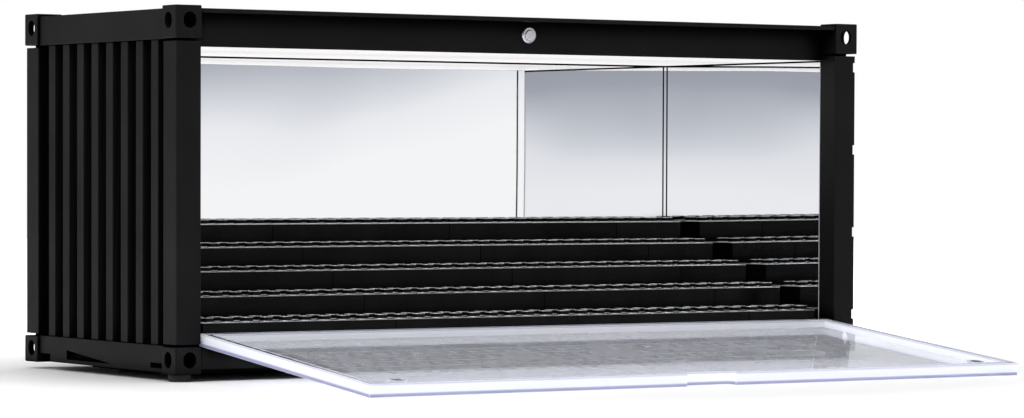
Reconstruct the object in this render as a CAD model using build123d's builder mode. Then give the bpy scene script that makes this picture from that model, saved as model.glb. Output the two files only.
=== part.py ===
from build123d import *
from math import asin, atan2, cos, degrees, radians, sin, sqrt
import os

# Minifigure display case in the shape of a freight container, with a drop-down clear front.
# Millimetres, Z up. X runs along the case, Y runs from the front to the rear.
# X = 0 is the middle of the case, Z = 0 is the table, and Y = 0 is half way between
# the free edge of the opened door and the rear face.

# Overall size over the corner castings
case_width = 301.0
case_depth = 117.4
case_height = 129.0
foot_height = 2.5

# Corner castings
casting_width = 10.3
casting_depth = 10.2
top_casting_height = 11.6
bottom_casting_height = 9.7
casting_wall = 1.5
casting_seat = 2.2
casting_round = 0.4
oval_width = 5.2
oval_height = 5.8
oval_from_side = 5.6
oval_from_end = 5.2

# Corner posts, with a groove and a tenon at each end
post_inset = 0.5
front_post_width = 10.3
rear_post_width = 8.0
rear_post_flange = 1.3
groove_height = 0.9
groove_depth = 3.0
tenon_length = 0.7
tenon_setback = 0.8
tenon_clearance = 0.1
lug_height = 3.6
lug_depth = 1.0
lug_pitch = 32.0
lug_first = 16.1
lug_count = 4

# Rails between the corners
side_inset = 1.0
rail_thickness = 5.0
side_rail_height = 9.9
front_rail_height = 9.0
rail_lift = 0.5
front_rail_chamfer = 1.3
beam_height = 10.7
roof_drop = 1.0
ledge_width = 3.0
ledge_thickness = 2.0
seat_gap = 0.1

# Cut-outs along the foot of the left rail
cable_notch_width = 8.6
cable_notch_height = 3.4
slot_start = 22.0
slot_length = 34.0
slot_height = 3.4
slot_roof = 5.3
window_from_front = 12.0
window_width = 8.4
window_height = 1.8
window_level = 1.9
slot_depth = 2.2

# Floor, pan and feet
floor_thickness = 2.0
pan_from_rear = 33.4
pan_front = 5.0
pan_side = 11.0
pan_drop = 1.0
pan_wall = 1.5
foot_diameter = 8.0
foot_from_side = 4.9
foot_from_front = 6.3
rear_foot_from_side = 22.0
rear_foot_from_rear = 41.4
screw_diameter = 2.0
screw_head_diameter = 4.0
screw_head_height = 1.2
screw_length = 9.6
screw_clearance = 0.1
screw_inset = 12.0

# Corrugated left end and shallow ribs on the rear and the roof
wave_pitch = 11.37
wave_crest = 5.1
wave_slope = 1.0
wave_depth = 2.8
wave_sheet = 1.2
wave_count = 8
wave_first = 18.4
end_panel_inset = 1.5
rear_panel_thickness = 1.4
rear_groove_depth = 0.6
rear_groove_width = 6.0
rear_groove_count = 24
roof_thickness = 1.5
roof_groove_depth = 0.5
roof_groove_width = 9.0
roof_groove_end = 16.7
roof_groove_count = 12

# Door-end relief on the right end
end_door_thickness = 2.6
end_door_gap = 1.2
lock_rod_diameter = 2.0
lock_rod_positions = (-34.0, -13.0, 13.0, 34.0)
keeper_width = 4.4
keeper_height = 3.0
handle_length = 13.0
handle_height = 1.8
handle_level = 47.0
strap_length = 12.0
strap_thickness = 0.5
strap_width = 3.6
strap_rows = (1, 2)

# Mirrors, ceiling and light
mirror_thickness = 1.0
mirror_inset = 9.6
back_mirror_inset = 2.9
mirror_notch = 1.0
ceiling_drop = 14.1
header_setback = 9.8
header_thickness = 2.2
header_tab_height = 7.6
lip_setback = 0.5
diffuser_thickness = 1.5
board_end_gap = 20.5
board_width = 8.0
board_thickness = 1.0
board_front = 30.0
board_from_rear = 19.4
chip_size = 3.0
chip_height = 0.8
chip_count = 20
link_width = 6.0
link_thickness = 0.4
link_offset = 60.0

# Stepped display stand
stair_end_room = 4.5
step_front = 7.0
step_depth = 22.4
step_bottom_level = 17.8
step_rise = 8.28
brick_wall = 1.5
brick_gap = 0.1
stud_pitch = 8.0
stud_diameter = 4.8
stud_height = 1.7
stud_rows = 2
brick_studs = 10

# Light button
button_offset = 3.1
button_drop = 7.1
bezel_diameter = 6.1
bezel_flange = 0.8
bezel_sleeve_diameter = 5.0
cap_diameter = 3.8
cap_clearance = 0.1
cap_proud = 1.2
cap_edge_round = 0.3
button_travel = 0.8
switch_width = 6.0
switch_depth = 4.0
plunger_diameter = 2.4
plunger_length = 2.4
plunger_clearance = 0.05

# Power socket and leads
socket_width = 9.4
socket_height = 3.6
socket_length = 7.3
socket_opening_width = 8.3
socket_opening_height = 2.5
socket_opening_depth = 6.3
socket_tongue_width = 6.6
socket_tongue_height = 0.7
socket_tongue_length = 4.4
socket_from_left = 32.5
socket_level = 2.9
lead_diameter = 1.6
lead_hole_clearance = 0.4
lead_from_left = 7.05
lead_drop = 8.0
lead_end_offset = 2.5

# Door, its barrel, rim, magnets and finger recess
door_side_gap = 1.7
door_thickness = 4.6
panel_thickness = 1.8
rim_width = 3.0
barrel_radius = 2.25
hinge_setback = 3.5
hinge_level = 11.95
lip_clearance = 0.5
rest_gap = 0.05
recess_width = 21.0
recess_depth = 2.2
pin_diameter = 2.0
pin_clearance = 0.05
pin_in_post = 6.0
pin_in_door = 8.0
magnet_diameter = 4.0
magnet_thickness = 1.5
magnet_boss_diameter = 6.6
magnet_from_edge = 6.6
magnet_from_side = 14.5
magnet_clearance = 0.05

# Levels and limits that follow from the sizes above
half_width = case_width / 2
base_level = foot_height
top_level = base_level + case_height
bottom_casting_top = base_level + bottom_casting_height
top_casting_bottom = top_level - top_casting_height
floor_top = base_level + front_rail_height
floor_bottom = floor_top - floor_thickness
roof_top = top_level - roof_drop
roof_bottom = roof_top - roof_thickness
beam_bottom = roof_top - beam_height
ceiling_level = top_level - ceiling_drop
side_rail_top = base_level + side_rail_height
hinge_z = base_level + hinge_level
door_reach = roof_bottom - lip_clearance - hinge_z
hinge_hypotenuse = sqrt(door_reach**2 + barrel_radius**2)
open_droop = asin((hinge_z - rest_gap) / hinge_hypotenuse) - atan2(barrel_radius, door_reach)
open_reach = door_reach * cos(open_droop) + barrel_radius * sin(open_droop)
front_y = (open_reach - hinge_setback - case_depth) / 2
hinge_y = front_y + hinge_setback
rear_y = front_y + case_depth
middle_y = front_y + case_depth / 2
swing = 90 + degrees(open_droop)
door_width = case_width - 2 * front_post_width - 2 * door_side_gap
board_length = case_width - 2 * board_end_gap
chip_pitch = board_length / chip_count

SIDES = {"left": -1, "right": 1}
ENDS = {"front": -1, "rear": 1}


def across(side, near, far):
    """X limits of a band near to far inside the left (-1) or right (1) outer face."""
    return sorted((side * (half_width - near), side * (half_width - far)))


def along(end, near, far):
    """Y limits of a band near to far inside the front (-1) or rear (1) outer face."""
    half_depth = case_depth / 2
    return sorted((middle_y + end * (half_depth - near), middle_y + end * (half_depth - far)))


def block(x_limits, y_limits, z_limits, mode=Mode.ADD):
    """A rectangular block between its limits, added to or cut from the part being built."""
    x0, x1 = x_limits
    y0, y1 = y_limits
    z0, z1 = z_limits
    with Locations((x0, y0, z0)):
        Box(x1 - x0, y1 - y0, z1 - z0, align=(Align.MIN, Align.MIN, Align.MIN), mode=mode)


def save(builder, label):
    """Label one finished piece and write it to its own file."""
    builder.part.label = label
    export_step(builder.part, f"parts/{label}.step")


def tenon_limits(side, end, clearance):
    """X and Y limits of a post's tenon, or of its pocket with a clearance."""
    width = front_post_width if end < 0 else rear_post_width
    x_limits = across(side, groove_depth - clearance, width - tenon_setback + clearance)
    y_limits = along(end, groove_depth - clearance, casting_depth - tenon_setback + clearance)
    return x_limits, y_limits


def corner_casting(side, end, top):
    """Hollow corner block with oval openings in its outer faces and a pocket for the post."""
    z0, z1 = (top_casting_bottom, top_level) if top else (base_level, bottom_casting_top)
    seat_z = z0 if top else z1
    inward = 1 if top else -1
    outer_z = z1 if top else z0
    x_limits = across(side, 0, casting_width)
    y_limits = along(end, 0, casting_depth)
    hollow_z = sorted((seat_z + inward * casting_seat, outer_z - inward * casting_wall))
    pocket_z = sorted((seat_z, seat_z + inward * (tenon_length + tenon_clearance)))
    oval_z = outer_z - inward * oval_from_end
    side_x = side * half_width
    end_y = middle_y + end * case_depth / 2
    oval_x = side * (half_width - oval_from_side)
    oval_y = middle_y + end * (case_depth / 2 - oval_from_side)
    with BuildPart() as casting:
        block(x_limits, y_limits, (z0, z1))
        fillet(casting.edges(), casting_round)
        block(across(side, casting_wall, casting_width - casting_wall),
              along(end, casting_wall, casting_depth - casting_wall), hollow_z, Mode.SUBTRACT)
        block(*tenon_limits(side, end, tenon_clearance), pocket_z, Mode.SUBTRACT)
        with BuildSketch(Plane((side_x, oval_y, oval_z), x_dir=(0, 0, 1), z_dir=(side, 0, 0))):
            SlotOverall(oval_height, oval_width)
        extrude(amount=-casting_wall - seat_gap, mode=Mode.SUBTRACT)
        with BuildSketch(Plane((oval_x, end_y, oval_z), x_dir=(0, 0, 1), z_dir=(0, end, 0))):
            SlotOverall(oval_height, oval_width)
        extrude(amount=-casting_wall - seat_gap, mode=Mode.SUBTRACT)
        if top:
            with BuildSketch(Plane((oval_x, oval_y, z1), x_dir=(1, 0, 0), z_dir=(0, 0, 1))):
                SlotOverall(oval_height, oval_width)
            extrude(amount=-casting_wall - seat_gap, mode=Mode.SUBTRACT)
    return casting


def corner_post(side, end):
    """Upright between two castings: set back a little, with a tenon at each end."""
    width = front_post_width if end < 0 else rear_post_width
    z0 = bottom_casting_top + groove_height
    z1 = top_casting_bottom - groove_height
    x_limits = across(side, post_inset, width)
    with BuildPart() as post:
        block(x_limits, along(end, post_inset, casting_depth), (z0, z1))
        fillet(post.edges().filter_by(Axis.Z), casting_round)
        if end > 0:
            block(across(side, width - casting_round, casting_width),
                  along(end, post_inset, post_inset + rear_post_flange), (z0, z1))
        block(*tenon_limits(side, end, 0),
              (bottom_casting_top - tenon_length, top_casting_bottom + tenon_length))
        if side > 0:
            for index in range(lug_count):
                level = base_level + lug_first + index * lug_pitch
                block(across(side, 0, post_inset + lug_depth), along(end, 0, casting_depth),
                      (level - lug_height / 2, level + lug_height / 2), Mode.SUBTRACT)
        if end < 0:
            face_x = side * (half_width - width)
            hole_plane = Plane((face_x, hinge_y, hinge_z), x_dir=(0, 1, 0), z_dir=(side, 0, 0))
            with BuildSketch(hole_plane):
                Circle(pin_diameter / 2 + pin_clearance / 2)
            extrude(amount=pin_in_post + seat_gap, mode=Mode.SUBTRACT)
    return post


def foot(x, y, top_z):
    """Round rubber foot from the table up to the face that it is stuck to."""
    with BuildPart() as pad:
        with BuildSketch(Plane((x, y, 0), x_dir=(1, 0, 0), z_dir=(0, 0, 1))):
            Circle(foot_diameter / 2)
        extrude(amount=top_z)
        chamfer(pad.edges().group_by(Axis.Z)[0], 0.4)
    return pad


os.makedirs("parts", exist_ok=True)

# Corner castings and posts
for side_name, side_sign in SIDES.items():
    for end_name, end_sign in ENDS.items():
        save(corner_casting(side_sign, end_sign, False), f"casting_bottom_{end_name}_{side_name}")
        save(corner_casting(side_sign, end_sign, True), f"casting_top_{end_name}_{side_name}")
        save(corner_post(side_sign, end_sign), f"post_{end_name}_{side_name}")

# Bottom rails with inner ledges that carry the floor
between_sides = (-half_width + casting_width + seat_gap, half_width - casting_width - seat_gap)
between_ends = (front_y + casting_depth + seat_gap, rear_y - casting_depth - seat_gap)
ledge_z = (floor_bottom - ledge_thickness, floor_bottom)
rail_inner = side_inset + rail_thickness
end_rail_inner = post_inset + rail_thickness
board_rear = case_depth - board_from_rear
lead_y = front_y + board_rear

with BuildPart() as front_bottom_rail:
    block(between_sides, along(-1, post_inset, end_rail_inner), (base_level + rail_lift, floor_top))
    front_edges = front_bottom_rail.edges().filter_by(Axis.X).group_by(Axis.Z)[0]
    chamfer(front_edges.sort_by(Axis.Y)[0], front_rail_chamfer)
    block(between_sides, along(-1, end_rail_inner, end_rail_inner + ledge_width), ledge_z)
save(front_bottom_rail, "front_bottom_rail")

socket_x = -half_width + socket_from_left
socket_z = base_level + socket_level
with BuildPart() as rear_bottom_rail:
    block(between_sides, along(1, post_inset, end_rail_inner), (base_level + rail_lift, floor_top))
    block(between_sides, along(1, end_rail_inner, end_rail_inner + ledge_width), ledge_z)
    pocket_half_width = socket_width / 2 + seat_gap / 2
    pocket_half_height = socket_height / 2 + seat_gap / 2
    block((socket_x - pocket_half_width, socket_x + pocket_half_width), along(1, 0, end_rail_inner),
          (socket_z - pocket_half_height, socket_z + pocket_half_height), Mode.SUBTRACT)
save(rear_bottom_rail, "rear_bottom_rail")

ledge_y = (between_ends[0] + seat_gap, lead_y - ledge_width)
for side_name, side_sign in SIDES.items():
    with BuildPart() as side_rail:
        block(across(side_sign, side_inset, rail_inner), between_ends,
              (base_level + rail_lift, side_rail_top))
        block(across(side_sign, rail_inner, rail_inner + ledge_width), ledge_y, ledge_z)
        outer_band = across(side_sign, side_inset, side_inset + slot_depth)
        # Cable notch beside the rear casting, right through the rail
        block(across(side_sign, 0, rail_inner), (between_ends[1] - cable_notch_width, between_ends[1]),
              (base_level, base_level + cable_notch_height), Mode.SUBTRACT)
        # Tapering slot under the rear half, and a small window near the front casting
        slot_rear = between_ends[1] - slot_start
        with BuildSketch(Plane.YZ.offset(outer_band[0])):
            with BuildLine():
                Polyline((slot_rear, base_level + slot_roof - slot_height),
                         (slot_rear, base_level + slot_roof),
                         (slot_rear - slot_length, base_level + slot_roof - slot_height),
                         close=True)
            make_face()
        extrude(amount=slot_depth, mode=Mode.SUBTRACT)
        window_front = front_y + window_from_front
        block(outer_band, (window_front, window_front + window_width),
              (base_level + window_level, base_level + window_level + window_height), Mode.SUBTRACT)
    save(side_rail, f"{side_name}_bottom_rail")

# Floor plate, cut out around the castings
floor_x = (-half_width + rail_inner + seat_gap, half_width - rail_inner - seat_gap)
floor_y = (front_y + end_rail_inner + seat_gap, rear_y - end_rail_inner - seat_gap)
pan_x = (-half_width + pan_side, half_width - pan_side)
pan_y = (front_y + pan_front + rail_thickness, rear_y - pan_from_rear)
screw_spots = [(x, y) for x in (pan_x[0] + screw_inset, 0, pan_x[1] - screw_inset)
               for y in (pan_y[0] + screw_inset, pan_y[1] - screw_inset)]
pan_bottom = base_level - pan_drop
screw_pilot = pan_bottom + screw_length
with BuildPart() as base_floor:
    block(floor_x, floor_y, (floor_bottom, floor_top))
    for side_sign in SIDES.values():
        for end_sign in ENDS.values():
            block(across(side_sign, 0, casting_width + seat_gap),
                  along(end_sign, 0, casting_depth + seat_gap), (floor_bottom, floor_top), Mode.SUBTRACT)
    for x, y in screw_spots:
        with BuildSketch(Plane((x, y, floor_bottom))):
            Circle(screw_diameter / 2 + screw_clearance / 2)
        extrude(amount=screw_pilot - floor_bottom + screw_clearance, mode=Mode.SUBTRACT)
    with BuildSketch(Plane((-half_width + lead_from_left, lead_y, floor_bottom))):
        Circle(lead_diameter / 2 + lead_hole_clearance)
    extrude(amount=floor_thickness, mode=Mode.SUBTRACT)
save(base_floor, "base_floor")

# Bottom pan under the floor, screwed up into it
with BuildPart() as base_pan:
    block(pan_x, pan_y, (pan_bottom, floor_bottom))
    inner_x = (pan_x[0] + pan_wall, pan_x[1] - pan_wall)
    inner_y = (pan_y[0] + pan_wall, pan_y[1] - pan_wall)
    block(inner_x, inner_y, (pan_bottom + pan_wall, floor_bottom), Mode.SUBTRACT)
    for x, y in screw_spots:
        with BuildSketch(Plane((x, y, pan_bottom))):
            Circle(screw_head_diameter / 2 + pan_wall)
        extrude(amount=floor_bottom - pan_bottom)
        with BuildSketch(Plane((x, y, pan_bottom))):
            Circle(screw_diameter / 2 + screw_clearance)
        extrude(amount=floor_bottom - pan_bottom, mode=Mode.SUBTRACT)
        with BuildSketch(Plane((x, y, pan_bottom))):
            Circle(screw_head_diameter / 2 + screw_clearance)
        extrude(amount=screw_head_height, mode=Mode.SUBTRACT)
save(base_pan, "base_pan")

with BuildPart() as base_screws:
    for x, y in screw_spots:
        with BuildSketch(Plane((x, y, pan_bottom))):
            Circle(screw_head_diameter / 2)
        extrude(amount=screw_head_height)
        with BuildSketch(Plane((x, y, pan_bottom))):
            Circle(screw_diameter / 2)
        extrude(amount=screw_length)
save(base_screws, "base_screws")

# Rubber feet: two under the front castings, two under the pan
for side_name, side_sign in SIDES.items():
    front_foot_x = side_sign * (half_width - foot_from_side)
    rear_foot_x = side_sign * (half_width - rear_foot_from_side)
    save(foot(front_foot_x, front_y + foot_from_front, base_level), f"foot_front_{side_name}")
    save(foot(rear_foot_x, rear_y - rear_foot_from_rear, pan_bottom), f"foot_rear_{side_name}")

# Top rails with inner ledges that carry the roof
roof_ledge_z = (roof_bottom - ledge_thickness, roof_bottom)
for side_name, side_sign in SIDES.items():
    with BuildPart() as top_rail:
        block(across(side_sign, side_inset, rail_inner), between_ends, (beam_bottom, roof_top))
        block(across(side_sign, rail_inner, rail_inner + ledge_width),
              (between_ends[0] + ledge_width, between_ends[1]), roof_ledge_z)
    save(top_rail, f"{side_name}_top_rail")

with BuildPart() as rear_top_rail:
    block(between_sides, along(1, post_inset, end_rail_inner), (beam_bottom, roof_top))
    block(between_sides, along(1, end_rail_inner, end_rail_inner + ledge_width), roof_ledge_z)
save(rear_top_rail, "rear_top_rail")

# Front header: a plate above the opening, with a tab behind each top casting
header_y = (front_y + header_setback, front_y + header_setback + header_thickness)
tab_y = (front_y + casting_depth + seat_gap, header_y[1])
magnet_spots = [side * (door_width / 2 - magnet_from_side) for side in SIDES.values()]
magnet_z = hinge_z + door_reach - magnet_from_edge
button_z = top_level - button_drop
with BuildPart() as front_header:
    block(between_sides, header_y, (ceiling_level, roof_bottom))
    tab_x = (-half_width + rail_inner + seat_gap, half_width - rail_inner - seat_gap)
    block(tab_x, tab_y, (roof_bottom - header_tab_height, roof_bottom))
    with BuildSketch(Plane((button_offset, header_y[0], button_z), x_dir=(1, 0, 0), z_dir=(0, -1, 0))):
        Circle(bezel_sleeve_diameter / 2 + cap_clearance / 2)
    extrude(amount=-header_thickness, mode=Mode.SUBTRACT)
    for x in magnet_spots:
        with BuildSketch(Plane((x, header_y[1], magnet_z), x_dir=(1, 0, 0), z_dir=(0, 1, 0))):
            Circle(magnet_diameter / 2 + magnet_clearance)
        extrude(amount=-magnet_thickness, mode=Mode.SUBTRACT)
save(front_header, "front_header")

with BuildPart() as header_magnets:
    for x in magnet_spots:
        with BuildSketch(Plane((x, header_y[1], magnet_z), x_dir=(1, 0, 0), z_dir=(0, 1, 0))):
            Circle(magnet_diameter / 2)
        extrude(amount=-magnet_thickness)
save(header_magnets, "header_magnets")

# Roof plate with its front lip over the closed door
roof_x = (-half_width + rail_inner + seat_gap, half_width - rail_inner - seat_gap)
with BuildPart() as roof_panel:
    block(roof_x, between_ends, (roof_bottom, roof_top))
    block(between_sides, (front_y + lip_setback, between_ends[0]), (roof_bottom, roof_top))
    block(between_sides, (between_ends[1], rear_y - end_rail_inner - seat_gap), (roof_bottom, roof_top))
    groove_pitch = (between_sides[1] - between_sides[0]) / roof_groove_count
    with BuildSketch(Plane((0, middle_y, roof_top))):
        with GridLocations(groove_pitch, 1, roof_groove_count, 1):
            Rectangle(roof_groove_width, case_depth - 2 * roof_groove_end)
    extrude(amount=-roof_groove_depth, mode=Mode.SUBTRACT)
save(roof_panel, "roof_panel")

# Corrugated sheet of the left end, folded outwards at each crest
panel_y = (between_ends[0], between_ends[1])
panel_z = (side_rail_top, beam_bottom)
crest_x = -half_width + end_panel_inset
valley_x = crest_x + wave_depth
wave_line = [(valley_x, panel_y[0])]
for index in range(wave_count):
    centre = front_y + wave_first + index * wave_pitch
    wave_line.append((valley_x, centre - wave_crest / 2 - wave_slope))
    wave_line.append((crest_x, centre - wave_crest / 2))
    wave_line.append((crest_x, centre + wave_crest / 2))
    wave_line.append((valley_x, centre + wave_crest / 2 + wave_slope))
wave_line.append((valley_x, panel_y[1]))
inner_line = [(x + wave_sheet, y) for x, y in reversed(wave_line)]
with BuildPart() as left_end_panel:
    with BuildSketch(Plane.XY.offset(panel_z[0])):
        with BuildLine():
            Polyline(*wave_line, *inner_line, close=True)
        make_face()
    extrude(amount=panel_z[1] - panel_z[0])
save(left_end_panel, "left_end_panel")

# Right end: two flat leaves in relief with lock rods, keepers, handles and hinge straps
leaf_face = half_width - end_panel_inset - lock_rod_diameter / 2
leaf_back = leaf_face - end_door_thickness
rod_levels = (panel_z[0] + keeper_height, panel_z[1] - keeper_height)
with BuildPart() as right_end_panel:
    block((leaf_back, leaf_face), panel_y, panel_z)
    block((leaf_face - end_door_gap / 2, leaf_face),
          (middle_y - end_door_gap / 2, middle_y + end_door_gap / 2), panel_z, Mode.SUBTRACT)
    for offset in lock_rod_positions:
        with BuildSketch(Plane((leaf_face, middle_y + offset, panel_z[0]))):
            Circle(lock_rod_diameter / 2)
        extrude(amount=panel_z[1] - panel_z[0])
        for level in rod_levels:
            block((leaf_face, leaf_face + lock_rod_diameter / 2),
                  (middle_y + offset - keeper_width / 2, middle_y + offset + keeper_width / 2),
                  (level - keeper_height / 2, level + keeper_height / 2))
        toward_middle = -1 if offset > 0 else 1
        handle_y = sorted((middle_y + offset, middle_y + offset + toward_middle * handle_length))
        block((leaf_face, leaf_face + lock_rod_diameter / 2), handle_y,
              (base_level + handle_level, base_level + handle_level + handle_height))
    for end_sign in ENDS.values():
        for index in strap_rows:
            level = base_level + lug_first + index * lug_pitch
            strap_y = along(end_sign, casting_depth + seat_gap, casting_depth + strap_length)
            block((leaf_face, leaf_face + strap_thickness), strap_y,
                  (level - strap_width / 2, level + strap_width / 2))
save(right_end_panel, "right_end_panel")

# Rear panel with shallow grooves, between the flanges of the rear posts
rear_panel_y = along(1, post_inset, post_inset + rear_panel_thickness)
with BuildPart() as rear_panel:
    block(between_sides, rear_panel_y, (floor_top, beam_bottom))
    groove_pitch = (between_sides[1] - between_sides[0]) / rear_groove_count
    groove_centre = (floor_top + beam_bottom) / 2
    groove_length = beam_bottom - floor_top - 2 * rear_groove_width
    with BuildSketch(Plane((0, rear_panel_y[1], groove_centre), x_dir=(1, 0, 0), z_dir=(0, 1, 0))):
        with GridLocations(groove_pitch, 1, rear_groove_count, 1):
            Rectangle(rear_groove_width, groove_length)
    extrude(amount=-rear_groove_depth, mode=Mode.SUBTRACT)
save(rear_panel, "rear_panel")

# Mirrors on the rear wall and both end walls, notched above the bottom castings
mirror_z = (floor_top, ceiling_level)
notch_z = (floor_top, bottom_casting_top + mirror_notch / 2)
mirror_back = mirror_inset - mirror_thickness
back_mirror_y = along(1, back_mirror_inset - mirror_thickness, back_mirror_inset)
with BuildPart() as back_mirror:
    block((-half_width + mirror_back, half_width - mirror_back), back_mirror_y, mirror_z)
    for side_sign in SIDES.values():
        block(across(side_sign, 0, casting_width + mirror_notch), back_mirror_y, notch_z, Mode.SUBTRACT)
save(back_mirror, "back_mirror")

for side_name, side_sign in SIDES.items():
    with BuildPart() as side_mirror:
        mirror_x = across(side_sign, mirror_back, mirror_inset)
        block(mirror_x, (between_ends[0], back_mirror_y[0]), mirror_z)
        block(mirror_x, (between_ends[1] - mirror_notch, back_mirror_y[0]), notch_z, Mode.SUBTRACT)
    save(side_mirror, f"{side_name}_mirror")

# Luminous ceiling, which lies on the top edges of the mirrors
with BuildPart() as light_diffuser:
    block((-half_width + mirror_back, half_width - mirror_back), (header_y[1], back_mirror_y[1]),
          (ceiling_level, ceiling_level + diffuser_thickness))
save(light_diffuser, "light_diffuser")

# Light strips under the roof, with their chips and the link between them
board_z = (roof_bottom - board_thickness, roof_bottom)
for end_name, board_offset in (("front", board_front), ("rear", board_rear)):
    board_y = front_y + board_offset
    with BuildPart() as led_board:
        block((-board_length / 2, board_length / 2),
              (board_y - board_width / 2, board_y + board_width / 2), board_z)
    save(led_board, f"led_board_{end_name}")

with BuildPart() as led_chips:
    for board_offset in (board_front, board_rear):
        with BuildSketch(Plane((0, front_y + board_offset, board_z[0]))):
            with GridLocations(chip_pitch, 1, chip_count, 1):
                Rectangle(chip_size, chip_size)
        extrude(amount=-chip_height)
save(led_chips, "led_chips")

with BuildPart() as board_link:
    block((link_offset - link_width / 2, link_offset + link_width / 2),
          (front_y + board_front + board_width / 2, front_y + board_rear - board_width / 2),
          (roof_bottom - link_thickness, roof_bottom))
save(board_link, "board_link")

# Stepped stand: five rows of hollow bricks, each open below, with two rows of studs on top.
# Bricks of one length in a row are alike, so they are one group.
stair_back = back_mirror_y[0] - seat_gap
stair_room = case_width - 2 * mirror_inset - 2 * stair_end_room
studs_across = int(stair_room / stud_pitch)
tread_room = stair_back - front_y - step_front - stud_rows * stud_pitch
step_count = int(tread_room / step_depth) + 1
long_count = studs_across // brick_studs
short_studs = studs_across - long_count * brick_studs
stair_left = -studs_across * stud_pitch / 2


def step_bricks(row, studs, starts):
    """Like bricks of one row of the stand, each of so many studs, from their left ends."""
    front = front_y + step_front + row * step_depth
    back = stair_back if row == step_count - 1 else front + step_depth - brick_gap
    level = base_level + step_bottom_level + row * step_rise
    with BuildPart() as bricks:
        for start in starts:
            left = start + brick_gap / 2
            right = start + studs * stud_pitch - brick_gap / 2
            block((left, right), (front, back), (floor_top, level))
            block((left + brick_wall, right - brick_wall), (front + brick_wall, back - brick_wall),
                  (floor_top, level - brick_wall), Mode.SUBTRACT)
            stud_x = start + studs * stud_pitch / 2
            with BuildSketch(Plane((stud_x, front + stud_pitch * stud_rows / 2, level))):
                with GridLocations(stud_pitch, stud_pitch, studs, stud_rows):
                    Circle(stud_diameter / 2)
            extrude(amount=stud_height)
    return bricks


for row in range(step_count):
    long_starts = [stair_left + index * brick_studs * stud_pitch for index in range(long_count)]
    save(step_bricks(row, brick_studs, long_starts), f"step_{row + 1}_long_bricks")
    if short_studs > 0:
        short_start = stair_left + long_count * brick_studs * stud_pitch
        save(step_bricks(row, short_studs, [short_start]), f"step_{row + 1}_short_brick")

# Light button: bezel in the header, sliding cap with its plunger, and the switch behind them
bezel_plane = Plane((button_offset, header_y[0], button_z), x_dir=(1, 0, 0), z_dir=(0, -1, 0))
cap_hole = cap_diameter / 2 + cap_clearance
cap_front = header_y[0] - cap_proud
switch_face = header_y[1]
cap_back = switch_face - button_travel - cap_clearance
with BuildPart() as button_bezel:
    with BuildSketch(bezel_plane):
        Circle(bezel_diameter / 2)
    extrude(amount=bezel_flange)
    chamfer(button_bezel.edges().group_by(Axis.Y)[0], bezel_flange / 2)
    with BuildSketch(bezel_plane):
        Circle(bezel_sleeve_diameter / 2)
    extrude(amount=-header_thickness)
    with BuildSketch(bezel_plane.offset(bezel_flange)):
        Circle(cap_hole)
    extrude(amount=-bezel_flange - header_thickness, mode=Mode.SUBTRACT)
save(button_bezel, "button_bezel")

with BuildPart() as button_cap:
    with BuildSketch(bezel_plane.offset(cap_proud)):
        Circle(cap_diameter / 2)
    extrude(amount=cap_front - cap_back)
    fillet(button_cap.edges().group_by(Axis.Y)[0], cap_edge_round)
    with BuildSketch(Plane((button_offset, cap_back, button_z), x_dir=(1, 0, 0), z_dir=(0, 1, 0))):
        Circle(plunger_diameter / 2)
    extrude(amount=plunger_length)
save(button_cap, "button_cap")

with BuildPart() as switch_body:
    block((button_offset - switch_width / 2, button_offset + switch_width / 2),
          (switch_face, switch_face + switch_depth),
          (button_z - switch_width / 2, button_z + switch_width / 2))
    with BuildSketch(Plane((button_offset, switch_face, button_z), x_dir=(1, 0, 0), z_dir=(0, 1, 0))):
        Circle(plunger_diameter / 2 + plunger_clearance)
    extrude(amount=plunger_length, mode=Mode.SUBTRACT)
save(switch_body, "switch_body")

# Power socket in the rear rail, open to the rear
socket_y = (rear_y - post_inset - socket_length, rear_y - post_inset)
with BuildPart() as power_socket:
    block((socket_x - socket_width / 2, socket_x + socket_width / 2), socket_y,
          (socket_z - socket_height / 2, socket_z + socket_height / 2))
    with BuildSketch(Plane((socket_x, socket_y[1], socket_z), x_dir=(1, 0, 0), z_dir=(0, 1, 0))):
        SlotOverall(socket_opening_width, socket_opening_height)
    extrude(amount=-socket_opening_depth, mode=Mode.SUBTRACT)
    tongue_y = socket_y[1] - socket_opening_depth
    block((socket_x - socket_tongue_width / 2, socket_x + socket_tongue_width / 2),
          (tongue_y, tongue_y + socket_tongue_length),
          (socket_z - socket_tongue_height / 2, socket_z + socket_tongue_height / 2))
save(power_socket, "power_socket")

# Lead from the socket, under the floor, up behind the left mirror and on to the rear light strip
lead_x = -half_width + lead_from_left
board_end_x = -board_length / 2 + lead_end_offset
lead_z = top_level - lead_drop
lead_points = [(socket_x, socket_y[0], socket_z), (socket_x, lead_y, socket_z),
               (lead_x, lead_y, socket_z), (lead_x, lead_y, lead_z),
               (board_end_x, lead_y, lead_z), (board_end_x, lead_y, board_z[0])]
lead_radii = (4.0, 3.0, 3.0, 1.9)
with BuildPart() as power_lead:
    with BuildLine() as lead_route:
        FilletPolyline(*lead_points, radius=lead_radii)
    with BuildSketch(Plane(lead_points[0], x_dir=(1, 0, 0), z_dir=(0, -1, 0))):
        Circle(lead_diameter / 2)
    sweep(path=lead_route.wires()[0])
save(power_lead, "power_lead")

# Lead from the switch to the front light strip
switch_back = switch_face + switch_depth
switch_points = [(button_offset, switch_back, button_z), (button_offset, front_y + board_front, button_z),
                 (button_offset, front_y + board_front, board_z[0])]
with BuildPart() as switch_lead:
    with BuildLine() as switch_route:
        FilletPolyline(*switch_points, radius=2.0)
    with BuildSketch(Plane(switch_points[0], x_dir=(1, 0, 0), z_dir=(0, 1, 0))):
        Circle(lead_diameter / 2)
    sweep(path=switch_route.wires()[0])
save(switch_lead, "switch_lead")

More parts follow.
